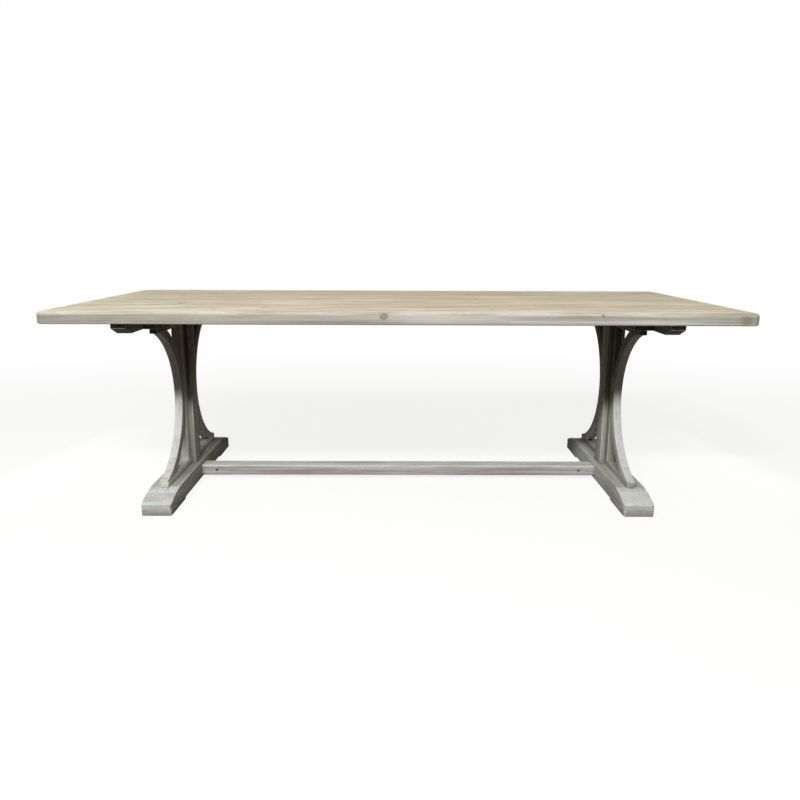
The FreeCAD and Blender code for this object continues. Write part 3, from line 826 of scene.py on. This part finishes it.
bpy.ops.object.select_all(action="DESELECT")
bpy.ops.mesh.primitive_plane_add(size=80.0, location=(0.0, 0.0, -0.0004))
floor = bpy.context.object
floor.name = "studio_floor"
bpy.ops.object.transform_apply(location=True, rotation=True, scale=True)
paper = bpy.data.materials.new("studio_paper")
paper.use_nodes = True
tree = paper.node_tree
tree.nodes.clear()
spread = vector(tree, "MULTIPLY", tree.nodes.new("ShaderNodeTexCoord").outputs["Object"], (0.6, 1.0, 1.0))
spread = vector(tree, "LENGTH", spread)
lit = tree.nodes.new("ShaderNodeBsdfDiffuse")
lit.inputs["Color"].default_value = (0.95, 0.95, 0.95, 1.0)
white = tree.nodes.new("ShaderNodeEmission")
shown = mixed(tree, fade(tree, spread, 1.2, 3.5, 0.15, 0.0), white, lit)
bounce = tree.nodes.new("ShaderNodeBsdfDiffuse")
bounce.inputs["Color"].default_value = (0.082, 0.071, 0.052, 1.0)
either = mixed(tree, seen_directly(tree), bounce, shown)
clear = tree.nodes.new("ShaderNodeBsdfTransparent")
below = tree.nodes.new("ShaderNodeNewGeometry").outputs["Backfacing"]
surface = tree.nodes.new("ShaderNodeOutputMaterial")
wire(tree, surface.inputs["Surface"], mixed(tree, below, either, clear).outputs[0])
floor.data.materials.append(paper)


# Light
# One long softbox in front, a little to the left and well above, a weak soft fill low behind the
# table and a small one at each end, and dim warm light from the room.
def studio_light(name, kind, energy, colour, location, direction):
    """A lamp at its place, shining in a direction."""
    lamp = bpy.data.objects.new(name, bpy.data.lights.new(name, kind))
    bpy.context.scene.collection.objects.link(lamp)
    lamp.data.energy = energy
    lamp.data.color = colour
    lamp.location = location
    lamp.rotation_euler = Vector(direction).to_track_quat("-Z", "Y").to_euler()
    return lamp


KEY_WHITE = (1.0, 0.985, 0.955)
FILL_WHITE = (1.0, 0.97, 0.93)
softbox = studio_light("softbox", "AREA", 338.0, KEY_WHITE, (-1.0, -3.95, 3.76), (0.8, 3.95, -3.26))
softbox.data.shape = "RECTANGLE"
softbox.data.size = 3.2
softbox.data.size_y = 0.3

back_fill = studio_light("back_fill", "SUN", 0.9, FILL_WHITE, (0.0, 0.0, 0.0), (0.0, -1.0, -0.16))
back_fill.data.angle = math.radians(30.0)
back_fill.visible_glossy = False

for side in (-1.0, 1.0):
    beside = (side * 1.65, 0.2, 0.36)
    end_fill = studio_light("end_fill", "AREA", 1.8, FILL_WHITE, beside, (-side, -0.2, -0.05))
    end_fill.data.shape = "RECTANGLE"
    end_fill.data.size = 1.0
    end_fill.data.size_y = 0.5
    end_fill.visible_camera = False
    end_fill.visible_glossy = False

room = bpy.data.worlds.new("studio_room")
bpy.context.scene.world = room
room.use_nodes = True
tree = room.node_tree
tree.nodes.clear()
dim = tree.nodes.new("ShaderNodeBackground")
dim.inputs["Color"].default_value = (1.0, 0.89, 0.72, 1.0)
dim.inputs["Strength"].default_value = 0.1
bright = tree.nodes.new("ShaderNodeBackground")
bright.inputs["Color"].default_value = (1.0, 1.0, 1.0, 1.0)
either = mixed(tree, seen_directly(tree), dim, bright)
wire(tree, tree.nodes.new("ShaderNodeOutputWorld").inputs["Surface"], either.outputs[0])
bpy.context.scene.view_settings.view_transform = "Standard"


# Camera
# Eye height in front of the middle, looking a little down, as the photograph was taken.
lens = bpy.data.cameras.new("front_view")
lens.sensor_fit = "HORIZONTAL"
lens.sensor_width = 36.0
lens.lens = 29.64
lens.shift_y = -0.0295
lens.clip_end = 200.0
camera = bpy.data.objects.new("front_view", lens)
bpy.context.scene.collection.objects.link(camera)
eye = Matrix.Translation((-0.00326, -2.70297, 1.00176))
pan = Matrix.Rotation(math.radians(-0.215), 4, "Z")
tilt = Matrix.Rotation(math.radians(90.0 - 11.716), 4, "X")
roll = Matrix.Rotation(math.radians(0.212), 4, "Z")
camera.matrix_world = eye @ (pan @ tilt @ roll)
bpy.context.scene.camera = camera
